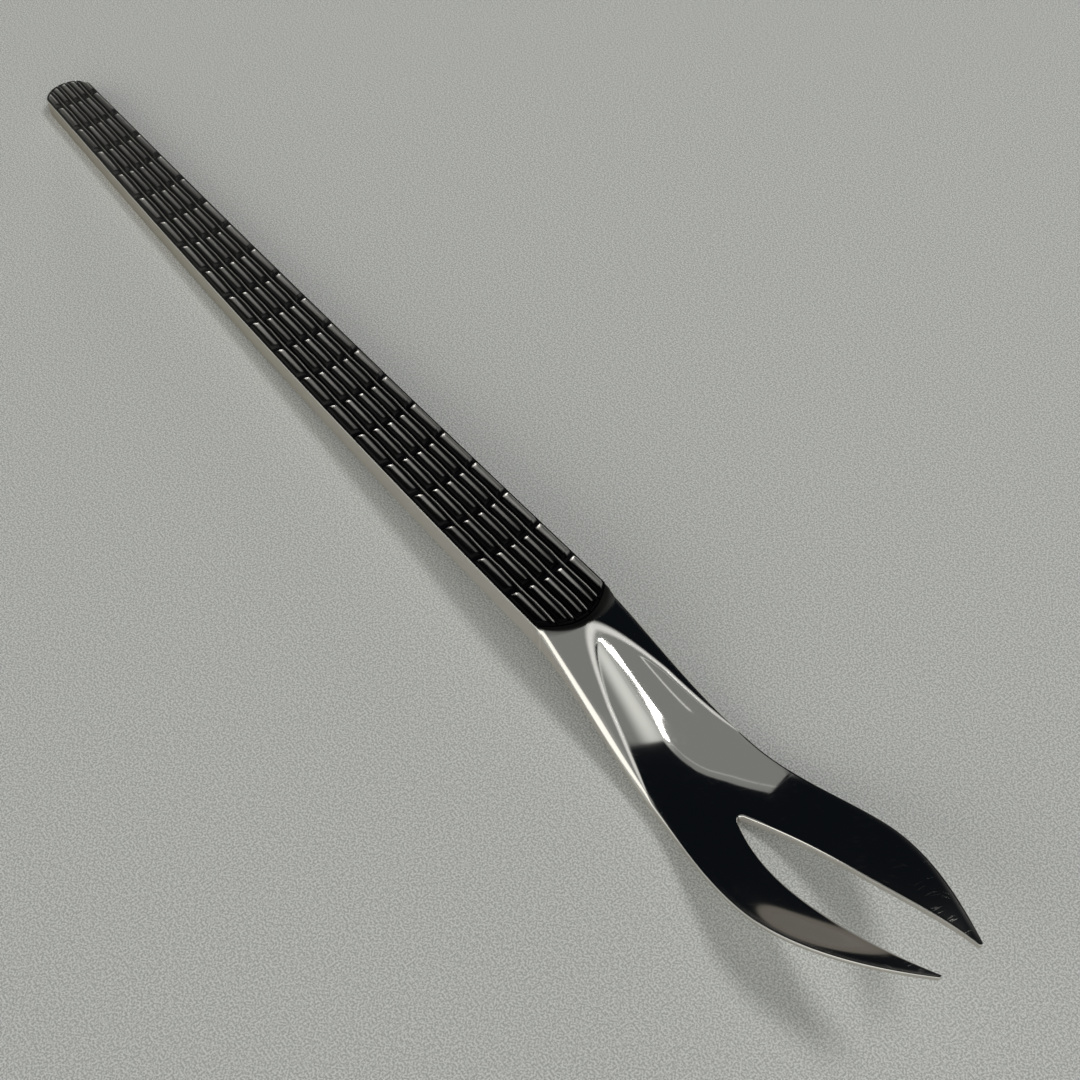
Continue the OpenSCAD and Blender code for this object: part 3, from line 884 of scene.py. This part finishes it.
def makeFloor():
    made, tree, shader = newMaterial("paleFloor")
    place = addNode(tree, "ShaderNodeTexCoord").outputs["Object"]
    speckle = addNode(
        tree, "ShaderNodeTexNoise",
        {"Vector": place, "Scale": floor["grain"] / mm, "Detail": floor["grainDetail"]})
    shade = ramp(tree, speckle.outputs["Fac"], *floor["grainFrom"])
    path = addNode(tree, "ShaderNodeLightPath")
    far = ramp(tree, path.outputs["Ray Length"], *floor["mirroredFrom"])
    mirrored = mathNode(tree, "MULTIPLY", far, path.outputs["Is Glossy Ray"])
    pale = mixColour(tree, shade, floor["dark"], floor["colour"])
    tree.links.new(mixColour(tree, mirrored, pale, floor["mirrored"]), shader.inputs["Base Color"])
    shader.inputs["Roughness"].default_value = floor["roughness"]
    mesh = bpy.data.meshes.new("floor")
    turns = np.linspace(0, 2 * math.pi, floor["sides"], endpoint=False)
    ring = [(floor["radius"] * math.cos(t), floor["radius"] * math.sin(t), 0) for t in turns]
    mesh.from_pydata(ring, [], [list(range(len(ring)))])
    mesh.materials.append(made)
    piece = bpy.data.objects.new("floor", mesh)
    bpy.context.scene.collection.objects.link(piece)


makeFloor()

# Studio: a soft room with a dark side, a pale window, a strip light overhead, a key light and a small lamp
# behind the handle. Directions are azimuths from +X and heights in degrees. A zone is bounded by planes
# through the fork, given by their normals; places on the ceiling are shares of its height above the fork
studio = {
    "ceiling": (0.19, 0.192, 0.186, 1),
    "darkSide": (0.0035, 0.0045, 0.006, 1),
    "lightWall": (0.62, 0.63, 0.6, 1),
    "ceilingLine": (0.34, 0.34, 0.33, 1),
    "shelfLine": (0.6, 0.6, 0.58, 1),
    "window": (1.2, 1.18, 1.1, 1),
    "belowTable": (0.17, 0.142, 0.122, 1),
    "tableEdge": (0.124, 0.114, 0.099, 1),
    "tableEdgeTop": (144.0, 0.03),
    "background": (0.42, 0.42, 0.41, 1),
    "darkTop": (121.0, 2.67),           # where the dark side faces, and how steeply its top edge is seen
    "darkFrom": (-1.0, 0.07, 0.162),
    "darkTo": 215.0,
    "cornerTop": (183.0, 1.3),
    "cornerSpan": (150.0, 222.0),
    "glowTowards": (65.0, 49.0),
    "glowReach": (20.0, 2.0),
    "glowPower": 2.0,
    "lineAlong": 31.0,
    "linePlace": (0.278, 0.302),
    "lineSoftness": 0.006,
    "shelfPlace": (-0.255, -0.215),
    "shelfFrom": 0.3,
    "shelfSoftness": 0.01,
    "windowTop": (287.0, 1.43),
    "windowSpan": (224.0, 350.0),
    "windowSoftness": 0.5,
    "front": (1.7, 1.71, 1.68, 1),      # a bright panel beyond the tines
    "frontSpan": (315.0, 20.0),
    "frontHeight": (0.4, 1.6),
    "frontSoftness": 0.2,
    "softness": 0.012,
}
strip = {                # follows a curve from the first bend to the last, which the middle one pulls
    "bends": ((0.238, 0.467, 1.0), (0.371, 0.384, 1.0), (0.372, 0.245, 1.0)),       # m
    "pieces": 6,
    "width": 0.06,
    "power": 1.3,       # W for each metre
    "colour": (1, 0.985, 0.95),
}
keyLight = {             # lights the floor, and isn't mirrored in the metal
    "azimuth": 55.0,
    "height": 67.0,
    "distance": 1.3,
    "size": 0.3,
    "power": 3.8,
    "colour": (1, 0.99, 0.97),
}
lamp = {
    "azimuth": 157.0,
    "height": 3.6,
    "distance": 0.9,
    "size": 0.08,
    "power": 1.3,
    "colour": (1, 0.97, 0.92),
}


def towards(azimuth, height):
    a, h = math.radians(azimuth), math.radians(height)
    return Vector((math.cos(a) * math.cos(h), math.sin(a) * math.cos(h), math.sin(h)))


def makeWorld():
    world = bpy.data.worlds.new("studio")
    bpy.context.scene.world = world
    world.use_nodes = True
    tree = world.node_tree
    tree.nodes.clear()
    way = addNode(tree, "ShaderNodeTexCoord").outputs["Generated"]

    def along(direction):
        made = addNode(tree, "ShaderNodeVectorMath", {0: way, 1: direction}, operation="DOT_PRODUCT")
        return made.outputs["Value"]

    def inside(*normals, soft=studio["softness"]):
        zone = None
        for normal in normals:
            side = ramp(tree, along(normal), 0.0, soft)
            zone = side if zone is None else mathNode(tree, "MULTIPLY", zone, side)
        return zone

    def under(facing, steepness):
        return towards(facing, 0) * steepness - Vector((0, 0, 1))

    def span(first, last):
        return towards(first + 90, 0), towards(last - 90, 0)

    def between(across, places):
        low, high = (Vector((0, 0, place)) for place in places)
        return across - low, high - across

    up = Vector((0, 0, 1))
    wide, narrow = (math.cos(math.radians(d)) for d in studio["glowReach"])
    nearGlow = along(towards(*studio["glowTowards"]))
    reach = addNode(tree, "ShaderNodeMapRange", {0: nearGlow, 1: wide, 2: narrow})
    glow = mathNode(tree, "POWER", reach.outputs[0], studio["glowPower"])
    seen = mixColour(tree, glow, studio["ceiling"], studio["lightWall"])
    line = between(towards(studio["lineAlong"] + 90, 0), studio["linePlace"])
    ceilingLine = inside(*line, up, soft=studio["lineSoftness"])
    seen = mixColour(tree, ceilingLine, seen, studio["ceilingLine"])
    shelf = between(towards(90, 0), studio["shelfPlace"])
    shelfStart = towards(0, 0) - up * studio["shelfFrom"]
    shelfLine = inside(*shelf, shelfStart, up, soft=studio["shelfSoftness"])
    seen = mixColour(tree, shelfLine, seen, studio["shelfLine"])
    windowTop = inside(under(*studio["windowTop"]), soft=studio["windowSoftness"])
    window = mathNode(tree, "MULTIPLY", windowTop, inside(*span(*studio["windowSpan"])))
    seen = mixColour(tree, window, seen, studio["window"])
    facing = sum(studio["frontSpan"]) / 2 - 180
    low, high = (under(facing, steepness) for steepness in studio["frontHeight"])
    front = inside(-low, high, *span(*studio["frontSpan"]), soft=studio["frontSoftness"])
    seen = mixColour(tree, front, seen, studio["front"])
    darkSide = inside(under(*studio["darkTop"]), studio["darkFrom"], towards(studio["darkTo"] - 90, 0))
    corner = inside(under(*studio["cornerTop"]), *span(*studio["cornerSpan"]))
    seen = mixColour(tree, mathNode(tree, "MAXIMUM", darkSide, corner), seen, studio["darkSide"])
    tableEdge = inside(under(*studio["tableEdgeTop"]), towards(studio["tableEdgeTop"][0], 0))
    seen = mixColour(tree, tableEdge, seen, studio["tableEdge"])
    seen = mixColour(tree, inside(-up), seen, studio["belowTable"])
    path = addNode(tree, "ShaderNodeLightPath").outputs["Is Camera Ray"]
    shown = mixColour(tree, path, seen, studio["background"])
    back = addNode(tree, "ShaderNodeBackground", {"Color": shown})
    out = addNode(tree, "ShaderNodeOutputWorld")
    tree.links.new(back.outputs[0], out.inputs[0])


# an area light that shines on the fork; a long one lies along a given direction
def addLight(name, place, shape, sizes, power, colour, along=None):
    data = bpy.data.lights.new(name, "AREA")
    data.shape = shape
    data.size = sizes[0]
    if len(sizes) > 1:
        data.size_y = sizes[1]
    data.energy = power
    data.color = colour
    made = bpy.data.objects.new(name, data)
    bpy.context.scene.collection.objects.link(made)
    made.location = place
    back = place.normalized()
    made.rotation_mode = "QUATERNION"
    if along is None:
        made.rotation_quaternion = back.to_track_quat("Z", "Y")
        return made
    right = (along - back * along.dot(back)).normalized()
    up = back.cross(right)
    turn = [[right[k], up[k], back[k]] for k in range(3)]
    made.rotation_quaternion = Matrix(turn).to_quaternion()
    return made


def addLamp(name, given, shape):
    place = towards(given["azimuth"], given["height"]) * given["distance"]
    return addLight(name, place, shape, (given["size"],), given["power"], given["colour"])


makeWorld()
start, pull, end = (Vector(bend) for bend in strip["bends"])
bends = [start.lerp(pull, t).lerp(pull.lerp(end, t), t) for t in np.linspace(0, 1, strip["pieces"] + 1)]
for first, last in zip(bends, bends[1:]):
    long = last - first
    addLight(
        "stripLight", (first + last) / 2, "RECTANGLE",
        (long.length, strip["width"]), strip["power"] * long.length, strip["colour"], long)
addLamp("keyLight", keyLight, "SQUARE").visible_glossy = False
addLamp("backLamp", lamp, "DISK")
bpy.context.scene.view_settings.view_transform = "Standard"
print("floor and lights placed")
